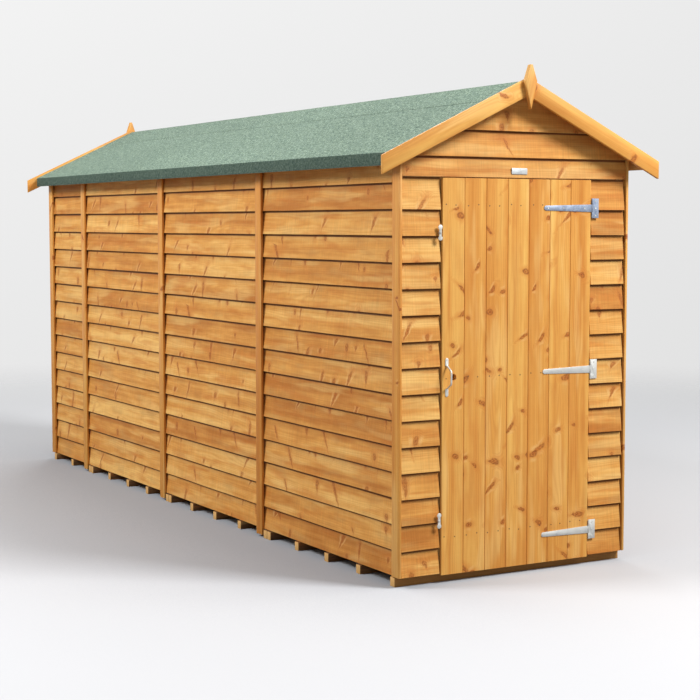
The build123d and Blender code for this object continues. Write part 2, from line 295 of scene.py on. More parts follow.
def blended(tree, share, first, second, kind="MIX"):
    node = tree.nodes.new("ShaderNodeMix")
    node.data_type = "RGBA"
    node.blend_type = kind
    for socket, value in ((0, share), (6, first), (7, second)):
        if isinstance(value, bpy.types.NodeSocket):
            tree.links.new(value, node.inputs[socket])
        else:
            node.inputs[socket].default_value = value
    return node.outputs[2]


def shaded(tree, colour, grey):
    # the colour made darker or lighter by a grey that may vary over it
    greys = put(tree, "ShaderNodeCombineColor", {0: grey, 1: grey, 2: grey})[0]
    return blended(tree, 1.0, colour, greys, "MULTIPLY")


def addBump(tree, shader, height, strength, depth):
    bump = put(tree, "ShaderNodeBump", {"Height": height, "Strength": strength, "Distance": depth})
    tree.links.new(bump["Normal"], shader.inputs["Normal"])


def newMaterial(name):
    material = bpy.data.materials.new(name)
    material.use_nodes = True
    tree = material.node_tree
    shader = next(n for n in tree.nodes if n.type == "BSDF_PRINCIPLED")
    return material, tree, shader


# Knots: how far from its middle each part of a knot reaches, in half-widths of the knot
knotShape = {
    "wobbleScale": 45, "smallest": 0.55, "stretchFrom": 0.1, "core": (1.35, 0.15), "rimAt": 0.8,
    "rim": (0.45, 0.0), "heart": (0.45, 0.1), "haloEnd": 0.6, "glareAt": 2.0, "glare": (1.1, 0.1),
    "glareReach": (1.3, 0.2), "glareSide": (0.3, 0.9), "blotchScale": 130, "blotch": (0.35, 0.6, 0.45, 1),
}


def knotLayer(tree, grain, along, across, knots):
    # one chance of a knot in each cell; it leans, tapers and stretches by the cell's own random colour
    wobble = work(tree, "SUBTRACT", noise(tree, grain, knotShape["wobbleScale"], 3), 0.5)
    cellAlong = work(tree, "MULTIPLY_ADD", along, 1 / knots["every"], knots["shift"])
    cellAcross = work(tree, "MULTIPLY_ADD", across, 1 / knots["row"], knots["shift"])
    cell = put(tree, "ShaderNodeCombineXYZ", {0: cellAlong, 1: cellAcross})[0]
    spots = put(tree, "ShaderNodeTexVoronoi", {"Vector": cell, "Scale": 1.0}, voronoi_dimensions="2D")
    spotAlong, spotAcross = put(tree, "ShaderNodeSeparateXYZ", {0: spots["Position"]})[:2]
    lean, chance, stretch = put(tree, "ShaderNodeSeparateColor", {0: spots["Color"]})[:3]
    offAlong = work(tree, "MULTIPLY", work(tree, "SUBTRACT", cellAlong, spotAlong), knots["every"])
    offAcross = work(tree, "MULTIPLY", work(tree, "SUBTRACT", cellAcross, spotAcross), knots["row"])
    offAlong = work(tree, "MULTIPLY_ADD", wobble, knots["wobble"], offAlong)
    tilt = between(tree, lean, 0, 1, -knots["lean"], knots["lean"], "LINEAR")
    offAlong = work(tree, "SUBTRACT", offAlong, work(tree, "MULTIPLY", tilt, offAcross))

    # the ratios are 1 at the rim of the knot, along the grain and across it
    least = 1 - knots["share"]
    narrow = knots["width"] * knotShape["smallest"]
    width = between(tree, chance, least, 1, narrow, knots["width"], "LINEAR")
    longer = between(tree, stretch, knotShape["stretchFrom"], 1, 1.0, knots["stretch"])
    ratioAcross = work(tree, "DIVIDE", offAcross, work(tree, "MULTIPLY", width, longer))
    taper = between(tree, ratioAcross, -1, 1, 1 - knots["taper"], 1, "LINEAR")
    ratioAlong = work(tree, "DIVIDE", offAlong, work(tree, "MULTIPLY", width, taper))
    square = work(tree, "MULTIPLY", ratioAlong, ratioAlong)
    ratio = work(tree, "SQRT", work(tree, "MULTIPLY_ADD", ratioAcross, ratioAcross, square))

    present = work(tree, "GREATER_THAN", chance, least)
    offRim = work(tree, "ABSOLUTE", work(tree, "SUBTRACT", ratio, knotShape["rimAt"]))
    fromSpike = work(tree, "SUBTRACT", work(tree, "ABSOLUTE", ratioAlong), knotShape["glareAt"])
    nearSpike = between(tree, work(tree, "ABSOLUTE", ratioAcross), *knotShape["glareReach"])
    glare = between(tree, work(tree, "ABSOLUTE", fromSpike), *knotShape["glare"])
    # glare: a painted pale highlight on one side of the spikes of leaning knots
    glareSide = work(tree, "MULTIPLY", present, between(tree, lean, *knotShape["glareSide"]))
    spotty = between(tree, noise(tree, grain, knotShape["blotchScale"], 2), *knotShape["blotch"])
    blotch = work(tree, "MULTIPLY", present, spotty)
    heart = between(tree, ratio, *knotShape["heart"])
    dark = work(tree, "MAXIMUM", between(tree, offRim, *knotShape["rim"]), heart)
    halo = between(tree, ratio, knots["halo"], knotShape["haloEnd"])
    return {
        "knot": work(tree, "MULTIPLY", blotch, between(tree, ratio, *knotShape["core"])),
        "rim": work(tree, "MULTIPLY", blotch, dark),
        "halo": work(tree, "MULTIPLY", present, halo),
        "glare": work(tree, "MULTIPLY", glareSide, work(tree, "MULTIPLY", glare, nearSpike)),
    }


# Patterns in the wood: stretch along, across and through it, then scale, detail and roughness
woodPatterns = {
    "drift": ((1.3, 7, 7), 1, 2), "streak": ((1.7, 62, 62), 1, 3, 0.6), "cloud": ((4.5, 13, 13), 1, 3, 0.6),
    "fibre": ((14, 620, 620), 1, 2), "sawn": ((130, 3, 3), 1, 3, 0.8), "band": ((0.5, 21, 21), 1, 1),
    "drab": ((2.3, 9, 9), 1.7, 2), "sap": ((1.9, 15, 15), 1.0, 2), "warm": ((2.6, 17, 17), 1.3, 2),
}
patches = {"drab": (0.5, 0.8), "sap": (0.54, 0.66), "warm": (0.54, 0.68)}  # where each patch fades in
woodDetail = {
    "drift": 0.05, "ringPower": 1.8, "fibreShade": (0.25, 0.75, 0.96, 1.03), "sawnRise": 0.6, "shine": 0.06,
    "fibreRelief": 0.35, "ringRelief": -0.3, "knotRelief": 0.5, "bump": 0.6, "bumpDepth": 0.0009,
    "litFrontEdge": (-1.9, -2.0), "sawnEnd": (0.6, 0.9),
}


def growthRings(tree, drift, across, through, halo, look):
    # rings about a heart somewhere under the board, bowed round the knots, with a slow drift along it
    middle = work(tree, "MULTIPLY_ADD", work(tree, "SUBTRACT", drift, 0.5), woodDetail["drift"], through)
    square = work(tree, "MULTIPLY", middle, middle)
    radius = work(tree, "SQRT", work(tree, "MULTIPLY_ADD", across, across, square))
    bowed = work(tree, "MULTIPLY_ADD", halo, look["bow"], radius)
    wave = work(tree, "SINE", work(tree, "MULTIPLY", bowed, 2 * math.pi / look["ringPitch"]))
    return work(tree, "POWER", work(tree, "MULTIPLY_ADD", wave, 0.5, 0.5), woodDetail["ringPower"])


def bearerLightAndShade(tree, colour, look):
    # painted light and shade: the sides stay dark as painted shade under the floor, the sawn ends keep the
    # pale wood colour, and the front edge is painted paler where light falls on it
    place = put(tree, "ShaderNodeTexCoord")
    facing = put(tree, "ShaderNodeSeparateXYZ", {0: place["Normal"]})[0]
    toDoor = put(tree, "ShaderNodeSeparateXYZ", {0: place["Object"]})[1]
    colour = blended(tree, between(tree, toDoor, *woodDetail["litFrontEdge"]), colour, look["litFrontEdge"])
    ends = between(tree, work(tree, "ABSOLUTE", facing), *woodDetail["sawnEnd"])
    return blended(tree, ends, colour, look["sawnEnd"])


def paintedLapShadeAndStain(tree, colour, look):
    # painted shade and stain: a dark line in the corner under each lap, partly stain and partly painted
    # shadow, and a soft painted shade fading down the board below it
    below = put(tree, "ShaderNodeAttribute", attribute_name="underLap")["Fac"]
    corner = between(tree, below, look["lapFade"], look["lapFull"], 0, look["lapShade"])
    soft = between(tree, below, look["lapSoft"], 0.0, 0, look["lapSoftShade"])
    return blended(tree, work(tree, "MAXIMUM", corner, soft), colour, look["lapShadeStain"])


def woodMaterial(name, look):
    material, tree, shader = newMaterial(name)
    grain = put(tree, "ShaderNodeAttribute", attribute_name="grain")["Vector"]
    tone = put(tree, "ShaderNodeAttribute", attribute_name="tone")["Fac"]
    along, across, through = put(tree, "ShaderNodeSeparateXYZ", {0: grain})[:3]
    layers = [knotLayer(tree, grain, along, across, knots) for knots in look["knots"]]
    halo = layers[0]["halo"]
    for layer in layers[1:]:
        halo = work(tree, "MAXIMUM", halo, layer["halo"])
    pattern = {}
    for kind, (stretch, *detail) in woodPatterns.items():
        pattern[kind] = noise(tree, stretched(tree, grain, stretch), *detail)
    ring = growthRings(tree, pattern["drift"], across, through, halo, look)

    # the board's own tone, then streaks and clouds along the grain, patches, rings and knots
    depth = work(tree, "MULTIPLY_ADD", tone, look["toneSpread"], 0.5 - look["toneSpread"] / 2)
    for kind in ("cloud", "streak", "band"):
        swing = work(tree, "MULTIPLY", work(tree, "SUBTRACT", pattern[kind], 0.5), look[kind + "Spread"])
        depth = work(tree, "ADD", depth, swing)
    colour = blended(tree, between(tree, depth, 0, 0.5, 0, 1, "LINEAR"), look["light"], look["middle"])
    colour = blended(tree, between(tree, depth, 0.5, 1, 0, 1, "LINEAR"), colour, look["deep"])
    for kind, (low, high) in patches.items():
        share = between(tree, pattern[kind], low, high, 0, look[kind + "Depth"])
        colour = blended(tree, share, colour, look[kind])
    colour = blended(tree, work(tree, "MULTIPLY", ring, look["ringDepth"]), colour, look["late"])
    for layer in layers:
        for part in ("halo", "glare", "knot", "rim"):
            share = work(tree, "MULTIPLY", layer[part], look[part + "Depth"])
            colour = blended(tree, share, colour, look[part])
    # painted light and shade on the bearers
    if "sawnEnd" in look:
        colour = bearerLightAndShade(tree, colour, look)
    darkest = 1 - look["sawMarks"]
    palest = 1 + look["sawMarks"] * woodDetail["sawnRise"]
    saw = between(tree, pattern["sawn"], 0.25, 0.75, darkest, palest, "LINEAR")
    fibre = between(tree, pattern["fibre"], *woodDetail["fibreShade"], "LINEAR")
    colour = shaded(tree, colour, work(tree, "MULTIPLY", saw, fibre))
    # painted shade and stain under each lap
    if look["lapShade"]:
        colour = paintedLapShadeAndStain(tree, colour, look)
    tree.links.new(colour, shader.inputs["Base Color"])

    smooth = look["roughness"] - woodDetail["shine"]
    rough = look["roughness"] + woodDetail["shine"]
    shine = between(tree, pattern["streak"], 0.3, 0.7, smooth, rough, "LINEAR")
    tree.links.new(shine, shader.inputs["Roughness"])
    shader.inputs["Specular IOR Level"].default_value = look["gloss"]
    relief = work(tree, "MULTIPLY", pattern["fibre"], woodDetail["fibreRelief"])
    relief = work(tree, "MULTIPLY_ADD", ring, woodDetail["ringRelief"], relief)
    relief = work(tree, "MULTIPLY_ADD", pattern["sawn"], look["sawRelief"], relief)
    relief = work(tree, "MULTIPLY_ADD", layers[0]["knot"], woodDetail["knotRelief"], relief)
    addBump(tree, shader, relief, woodDetail["bump"], woodDetail["bumpDepth"])
    return material


# Wood finishes: what differs from one kind of timber to another
spikeKnots = {
    "every": 0.23, "row": 0.13, "share": 0.55, "lean": 0.8, "width": 0.0175, "stretch": 4.2,
    "taper": 0.8, "wobble": 0.024, "halo": 3.4, "shift": 0.0,
}
roundKnots = {
    "every": 0.3, "row": 0.14, "share": 0.5, "lean": 0.3, "width": 0.0165, "stretch": 1.5,
    "taper": 0.25, "wobble": 0.014, "halo": 3.0, "shift": 7.3,
}
honeyBoard = {
    "light": paint(247, 195, 111), "middle": paint(225, 159, 76), "deep": paint(190, 119, 47),
    "drab": paint(200, 152, 86), "drabDepth": 0.6, "sap": paint(252, 208, 128), "sapDepth": 0.34,
    "warm": paint(206, 122, 44), "warmDepth": 0.4,
    "late": paint(188, 108, 40), "ringDepth": 0.2, "ringPitch": 0.0062, "bow": 0.014,
    "halo": paint(206, 122, 50), "haloDepth": 0.45, "knot": paint(168, 94, 32), "knotDepth": 0.72,
    "rim": paint(128, 62, 20), "rimDepth": 0.45, "glare": paint(250, 212, 138), "glareDepth": 0.35,
    "knots": (spikeKnots, roundKnots),
    "toneSpread": 0.6, "cloudSpread": 1.0, "streakSpread": 0.6, "bandSpread": 1.2,
    "sawMarks": 0.14, "sawRelief": 0.5, "roughness": 0.62, "gloss": 0.28,
    # painted shade under each lap: a hard dark line, partly stain and partly painted shadow, and a soft
    # painted shade below it
    "lapShade": 0.9, "lapFull": 0.006, "lapFade": 0.0125, "lapSoft": 0.05, "lapSoftShade": 0.22,
    "lapShadeStain": paint(104, 54, 14),
}
planedDoor = dict(
    honeyBoard, light=paint(245, 192, 100), middle=paint(228, 160, 73), deep=paint(208, 132, 48),
    sapDepth=0.35, warmDepth=0.3,
    knots=(
        dict(
            spikeKnots, every=0.22, row=0.11, share=0.55, lean=1.0, stretch=2.5, width=0.017, taper=0.6,
        ),
        dict(roundKnots, every=0.26, row=0.11, share=0.55, width=0.0155),
    ),
    knot=paint(180, 96, 28), knotDepth=0.85, rim=paint(124, 58, 14), rimDepth=0.7,
    halo=paint(212, 130, 50), haloDepth=0.6, glareDepth=0.3,
    toneSpread=0.4, cloudSpread=0.6, streakSpread=0.8, bandSpread=1.2, drabDepth=0.2,
    sawMarks=0.02, sawRelief=0.05, roughness=0.5, gloss=0.35, lapShade=0,
)
planedTrim = dict(
    planedDoor, light=paint(238, 180, 90), middle=paint(220, 151, 66), deep=paint(198, 124, 46),
    knots=(
        dict(spikeKnots, every=0.5, row=0.16, share=0.62, lean=1.4, stretch=3.4, width=0.02),
        dict(roundKnots, every=0.5, share=0.45, width=0.009),
    ),
)
sawnFrame = dict(
    planedDoor, light=paint(243, 205, 142), middle=paint(226, 178, 112), deep=paint(205, 150, 86),
    knots=(dict(roundKnots, every=0.4),), sawMarks=0.06, sawRelief=0.25, roughness=0.66,
)
floorPlank = dict(
    sawnFrame, light=paint(240, 202, 144), middle=paint(222, 176, 116), deep=paint(198, 146, 88),
    roughness=0.58,
)
roofPlank = dict(sawnFrame, light=paint(238, 198, 138), middle=paint(220, 172, 112))
# painted shade: the bearer timber is coloured dark as if in the shade under the floor, with paler sawn ends
# and a front edge painted paler where light falls
shadeDarkBearer = dict(
    sawnFrame, light=paint(132, 96, 58), middle=paint(104, 72, 42), deep=paint(80, 54, 30),
    sawMarks=0.08, roughness=0.72, sawnEnd=paint(226, 176, 108), litFrontEdge=paint(178, 126, 66),
)

claddingWood = woodMaterial("claddingWood", honeyBoard)
doorWood = woodMaterial("doorWood", planedDoor)
trimWood = woodMaterial("trimWood", planedTrim)
frameWood = woodMaterial("frameWood", sawnFrame)
floorWood = woodMaterial("floorWood", floorPlank)
roofWood = woodMaterial("roofWood", roofPlank)
paintedShadeWood = woodMaterial("paintedShadeWood", shadeDarkBearer)


feltLook = {
    "pale": paint(172, 190, 168), "green": paint(118, 140, 121), "dark": paint(56, 78, 70),
    "blue": paint(108, 132, 138), "blueFrom": 0.86, "blueDepth": 0.6, "granules": 420, "clumps": 95,
    "clumpShare": 0.6, "grainShare": 0.4, "wash": (0.3, 0.7, 0.94, 1.05), "roughness": 0.93, "gloss": 0.2,
    "bump": 0.8, "relief": 0.0011,
    # turned: painted shade on the turned-down faces, which face away from the light from above
    "turned": paint(46, 62, 54), "turnedShadeDepth": 0.68, "turnedShadeFrom": (0.55, 0.2),
}


def feltMaterial(look):
    # mineral felt: pale, green and dark granules with a few blue ones, and painted shade on the faces turned
    # down over the eaves
    material, tree, shader = newMaterial("roofFeltGreen")
    place = put(tree, "ShaderNodeTexCoord")["Object"]
    grit = put(tree, "ShaderNodeTexVoronoi", {"Vector": place, "Scale": look["granules"]})
    grey = put(tree, "ShaderNodeSeparateColor", {0: grit["Color"]})
    clump = noise(tree, place, look["clumps"], 3, 0.75)
    patch = noise(tree, stretched(tree, place, (1.4, 0.6, 1.4)), 1.6, 2)
    clumped = between(tree, clump, 0.3, 0.7, 0, look["clumpShare"], "LINEAR")
    mixed = work(tree, "MULTIPLY_ADD", grey[0], look["grainShare"], clumped)
    colour = blended(tree, between(tree, mixed, 0.2, 0.5), look["dark"], look["green"])
    colour = blended(tree, between(tree, mixed, 0.45, 0.8), colour, look["pale"])
    isBlue = work(tree, "GREATER_THAN", grey[1], look["blueFrom"])
    colour = blended(tree, work(tree, "MULTIPLY", isBlue, look["blueDepth"]), colour, look["blue"])
    # painted shade where the felt stands upright
    normal = put(tree, "ShaderNodeNewGeometry")["Normal"]
    upright = work(tree, "ABSOLUTE", put(tree, "ShaderNodeSeparateXYZ", {0: normal})[2])
    turned = between(tree, upright, *look["turnedShadeFrom"], 0, look["turnedShadeDepth"])
    colour = blended(tree, turned, colour, look["turned"])
    colour = shaded(tree, colour, between(tree, patch, *look["wash"], "LINEAR"))
    tree.links.new(colour, shader.inputs["Base Color"])
    shader.inputs["Roughness"].default_value = look["roughness"]
    shader.inputs["Specular IOR Level"].default_value = look["gloss"]
    rough = work(tree, "MULTIPLY_ADD", clump, 1.5, grey[2])
    addBump(tree, shader, rough, look["bump"], look["relief"])
    return material


zincLook = {
    "metallic": 0.6, "smooth": 0.34, "rough": 0.56, "spangle": 160, "spangleShare": 0.2, "bloomScale": 24,
    "paleLower": paint(226, 226, 220), "paleLowerFrom": (1.3, 1.0), "bump": 0.35, "relief": 0.0004,
}


def zincMaterial(name, bright, dull, look):
    # galvanised steel: soft spangle, and a paler, whiter colour on the pieces lower down
    material, tree, shader = newMaterial(name)
    place = put(tree, "ShaderNodeTexCoord")["Object"]
    flake = put(tree, "ShaderNodeTexVoronoi", {"Vector": place, "Scale": look["spangle"]})
    grey = put(tree, "ShaderNodeSeparateColor", {0: flake["Color"]})[0]
    bloom = noise(tree, place, look["bloomScale"], 3, 0.6)
    share = work(tree, "MULTIPLY", bloom, 1 - look["spangleShare"])
    share = work(tree, "MULTIPLY_ADD", grey, look["spangleShare"], share)
    colour = blended(tree, between(tree, share, 0.25, 0.75), dull, bright)
    # paler and whiter on the pieces lower down
    height = put(tree, "ShaderNodeSeparateXYZ", {0: place})[2]
    lower = between(tree, height, *look["paleLowerFrom"])
    paleLower = work(tree, "MULTIPLY", lower, between(tree, bloom, 0.2, 0.5, 0.75, 1))
    colour = blended(tree, paleLower, colour, look["paleLower"])
    tree.links.new(colour, shader.inputs["Base Color"])
    shader.inputs["Metallic"].default_value = look["metallic"]
    roughness = between(tree, bloom, 0.3, 0.7, look["smooth"], look["rough"], "LINEAR")
    tree.links.new(roughness, shader.inputs["Roughness"])
    addBump(tree, shader, bloom, look["bump"], look["relief"])
    return material


nailLook = {"fresh": paint(122, 84, 52), "rusted": paint(76, 48, 28), "spots": 300, "roughness": 0.6}


def nailMaterial(look):
    material, tree, shader = newMaterial("nailSteel")
    spots = noise(tree, put(tree, "ShaderNodeTexCoord")["Object"], look["spots"], 2)
    colour = blended(tree, spots, look["fresh"], look["rusted"])
    tree.links.new(colour, shader.inputs["Base Color"])
    shader.inputs["Roughness"].default_value = look["roughness"]
    return material


feltGreen = feltMaterial(feltLook)
zincPlate = zincMaterial("zincPlate", paint(174, 186, 204), paint(136, 150, 174), zincLook)
brightZinc = zincMaterial("brightZinc", paint(236, 234, 226), paint(190, 188, 180), zincLook)
plateZinc = zincMaterial("plateZinc", paint(206, 210, 210), paint(190, 194, 196), zincLook)
nailSteel = nailMaterial(nailLook)
print("materials made")


# Lapped cladding: feather-edged boards, one modelled for each wall and copied up it
cladding = {
    "pitch": 0.11015, "leastLap": 0.03, "cover": 0.025, "set": 0.009, "butt": 0.0087, "inner": 0.0138,
    "edge": 0.0009, "cutEvery": 0.06, "tilt": 0.0016, "slip": 0.0008, "wave": 0.0022,
    "endGap": 0.0006, "gableLaps": (0.084, 0.113), "mostLean": 0.011, "rippleScale": 0.34,
    "underHead": 0.0005, "underRoof": 0.0004,
}


def lapBoard(name, length, height):
    # lies along X with its butt at z = 0 and its face at y = 0, and leans back under the next board
    lean = min(cladding["set"] * height / cladding["pitch"], cladding["mostLean"])
    board = newBox(name, (0, 0, 0), (length, cladding["butt"], height))
    for outer, move in ((True, lean), (False, cladding["inner"] - cladding["butt"])):
        editVerts(board, lambda p: p.z > height / 2 and (p.y < cladding["butt"] / 2) == outer)
        bpy.ops.transform.translate(value=(0, move, 0))
        closeEdit()
    editEdges(board, lambda a, b: abs(a.x - b.x) > length / 2)
    bpy.ops.mesh.subdivide(number_cuts=max(1, int(length / cladding["cutEvery"])))
    closeEdit()
    easeEdges(board, cladding["edge"], 1, 50)
    return board


def boardWall(name, node, turn, lows, top, clipped=False):
    # boards from the lowest up, each copied, marked with its own grain, and turned into its wall
    low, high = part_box(node)
    length = high.y - low.y if turn in (-90, 90) else high.x - low.x
    start = {0: (low.x, low.y), -90: (low.x, high.y), 90: (high.x, low.y), 180: (high.x, high.y)}[turn]
    place = Matrix.Translation((*start, 0)) @ Matrix.Rotation(math.radians(turn), 4, "Z")
    boards = []
    models = {}
    for number, z in enumerate(lows):
        last = number == len(lows) - 1
        seen = (top if last else lows[number + 1]) - z
        height = seen if last else seen + cladding["cover"]
        key = round(height, 4)
        if key not in models:
            models[key] = lapBoard(name + "Model", length - 2 * cladding["endGap"], height)
        board = copyOf(models[key], name + "Board")
        markGrain(board, Vector((1, 0, 0)), Vector((0, 0, 1)), Vector((0, 1, 0)), seen)
        slope = dice.uniform(-1, 1) * cladding["tilt"] / length
        slip = dice.uniform(-1, 1) * cladding["slip"]
        lift = 0 if number == 0 else slip
        local = Matrix.Translation((cladding["endGap"], 0, z + lift)) @ Matrix.Rotation(slope, 4, "Y")
        board.data.transform(place @ local)
        boards.append(board)
    for model in models.values():
        discard(model)
    wall = joinAll(boards, name)
    rippled(wall, "boardRipple", cladding["rippleScale"], cladding["wave"], 0.5)
    if clipped:
        for side in (-1, 1):
            cutBelow(wall, (0, 0, high.z - cladding["underRoof"]), (side * roof["slope"], 0, 1))
    shadeByAngle(wall, 35)
    return finishPiece(wall, "shed", "cladding", claddingWood, node)


def evenLaps(low, top):
    count = int((top - cladding["leastLap"] - low) / cladding["pitch"]) + 1
    return [low + cladding["pitch"] * number for number in range(count)]


roof = {
    "slope": 0.4737, "felt": 0.003, "board": 0.012, "drop": 0.053, "fold": 0.004,
    "capReach": 0.215, "capStep": 0.001, "cutsAlong": 70, "cutsDown": 10, "ripple": 0.0022,
    "rippleScale": 0.3, "near": 0.0005,
}

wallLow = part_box("left_cladding_1")[0].z
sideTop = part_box("left_cladding_1")[1].z
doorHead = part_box("front_gable_cladding")[0].z
for number in range(1, 5):
    for side, turn in (("left", -90), ("right", 90)):
        node = f"{side}_cladding_{number}"
        boardWall(f"{side}WallBoards{number}", node, turn, evenLaps(wallLow, sideTop), sideTop)
headTop = doorHead - cladding["underHead"]
boardWall("doorSideBoardsLeft", "front_cladding_left", 0, evenLaps(wallLow, doorHead), headTop)
boardWall("doorSideBoardsRight", "front_cladding_right", 0, evenLaps(wallLow, doorHead), headTop)
gableLows = [doorHead]
for rise in cladding["gableLaps"]:
    gableLows.append(gableLows[-1] + rise)
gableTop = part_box("front_gable_cladding")[1].z
boardWall("doorGableBoards", "front_gable_cladding", 0, gableLows, gableTop, clipped=True)
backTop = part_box("back_cladding")[1].z
boardWall("backWallBoards", "back_cladding", 180, evenLaps(wallLow, backTop), backTop, clipped=True)
print("cladding boards made")


# Frame, floor and trim timbers: eased copies of the CAD pieces
for node, name, slot, material in (
    ("floor_bearers", "floorBearers", "bearers", paintedShadeWood),
    ("left_wall_rails", "leftWallRails", "frame", frameWood),
    ("right_wall_rails", "rightWallRails", "frame", frameWood),
    ("left_wall_studs", "leftWallStuds", "frame", frameWood),
    ("right_wall_studs", "rightWallStuds", "frame", frameWood),
    ("front_posts", "doorGablePosts", "frame", frameWood),
    ("front_rails", "doorGableRails", "frame", frameWood),
    ("front_rafters", "doorGableRafters", "frame", frameWood),
    ("back_posts", "backGablePosts", "frame", frameWood),
    ("back_rails", "backGableRails", "frame", frameWood),
    ("back_rafters", "backGableRafters", "frame", frameWood),
    ("roof_purlins", "roofPurlins", "frame", frameWood),
    # the eave battens take the same dark wood, as painted shade under the eave
    ("eave_battens", "eaveBattens", "trim", paintedShadeWood),
    ("left_cover_strips", "leftCoverStrips", "trim", trimWood),
    ("right_cover_strips", "rightCoverStrips", "trim", trimWood),
    ("corner_strips", "cornerStrips", "trim", trimWood),
):
    timberFrom(node, name, "shed", slot, material)
for node, name in (
    ("front_bargeboards", "doorGableBargeboards"),
    ("back_bargeboards", "backGableBargeboards"),
    ("gable_finials", "gableFinials"),
):
    timberFrom(node, name, "shed", "trim", trimWood, tone=0.05)
print("timbers eased")


# Door: vee-jointed boards, then ledges and braces behind them
door = {
    "tones": (-0.1, 0.35, 0.6, 0.15, 0.9, 0.3, 0.5),
    "vee": 0.0022, "edge": 0.0008, "gap": 0.0003, "holeRadius": 0.014, "holeX": -0.333, "holeZ": 0.879,
    "holeSides": 40, "drill": 0.2,
}


def doorBoards():
    low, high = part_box("door_leaf")
    width = (high.x - low.x) / len(door["tones"])
    right = low.x + width - door["gap"]
    first = newBox("doorBoardModel", (low.x + door["gap"], low.y, low.z), (right, high.y, high.z))
    middle = (low.y + high.y) / 2
    editEdges(first, lambda a, b: abs(a.z - b.z) > 1 and a.y < middle and b.y < middle)
    bpy.ops.mesh.bevel(offset=door["vee"], segments=1)
    closeEdit()
    easeEdges(first, door["edge"], 1, 50)
    deselectAll()
    bpy.ops.mesh.primitive_cylinder_add(
        vertices=door["holeSides"], radius=door["holeRadius"], depth=door["drill"],
        location=(door["holeX"], low.y, door["holeZ"]), rotation=(math.radians(90), 0, 0),
    )
    drill = bpy.context.active_object
    applyPlace(drill)
    boards = []
    for number, tone in enumerate(door["tones"]):
        board = copyOf(first, "doorBoard")
        board.data.transform(Matrix.Translation((width * number, 0, 0)))
        if number == 0:
            applyModifier(board, "BOOLEAN", object=drill, operation="DIFFERENCE", solver="EXACT")
        markGrain(board, Vector((0, 0, 1)), Vector((1, 0, 0)), Vector((0, 1, 0)), tone=tone)
        boards.append(board)
    discard(first)
    discard(drill)
    leaf = joinAll(boards, "doorBoards")
    shadeByAngle(leaf, 35)
    return finishPiece(leaf, "door", "door", doorWood, "door_leaf")


doorBoards()
timberFrom("door_ledges", "doorLedges", "door", "door", doorWood)
timberFrom("door_braces", "doorBraces", "door", "door", doorWood)
print("door made")


# Floor and roof boards
planks = {"floorWidth": 0.112, "roofWidth": 0.12, "gap": 0.0005, "edge": 0.0008}


def floorBoards():
    low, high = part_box("floor_deck")
    count = round((high.x - low.x) / planks["floorWidth"])
    width = (high.x - low.x) / count
    boards = []
    for part in mergedCopy("floor_deck", "deckCopy", loose=True, flatten=False):
        ys = [v.co.y for v in part.data.vertices]
        first = (low.x + planks["gap"], min(ys), low.z)
        model = newBox("floorModel", first, (low.x + width - planks["gap"], max(ys), high.z))
        easeEdges(model, planks["edge"], 1, 50)
        for number in range(count):
            board = copyOf(model, "floorBoard")
            board.data.transform(Matrix.Translation((width * number, 0, 0)))
            markGrain(board, Vector((0, 1, 0)), Vector((1, 0, 0)), Vector((0, 0, 1)))
            boards.append(board)
        discard(model)
        discard(part)
    deck = joinAll(boards, "floorBoards")
    return finishPiece(deck, "shed", "floor", floorWood, "floor_deck")


def roofBoards(node, name, turn):
    # boards run from the ridge down to the eave, side by side along the shed, their square ends set back a
    # little at the ridge
    low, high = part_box(node)
    angle = math.atan(roof["slope"])
    run = (high.x - low.x) / math.cos(angle)
    count = round((high.y - low.y) / planks["roofWidth"])
    width = (high.y - low.y) / count
    start = roof["board"] * math.tan(angle) / 2
    first = (start, low.y + planks["gap"], -roof["board"])
    model = newBox("roofModel", first, (run, low.y + width - planks["gap"], 0))
    easeEdges(model, planks["edge"], 1, 50)
    tip = Matrix.Translation((0, 0, high.z)) @ Matrix.Rotation(angle, 4, "Y")
    place = Matrix.Rotation(math.radians(turn), 4, "Z") @ tip
    boards = []
    for number in range(count):
        board = copyOf(model, "roofBoard")
        markGrain(board, Vector((1, 0, 0)), Vector((0, 1, 0)), Vector((0, 0, 1)))
        board.data.transform(place @ Matrix.Translation((0, width * number, 0)))
        boards.append(board)
    discard(model)
    return finishPiece(joinAll(boards, name), "shed", "roof_boards", roofWood, node)


floorBoards()
roofBoards("roof_boards_left", "roofBoardsLeft", 180)
roofBoards("roof_boards_right", "roofBoardsRight", 0)


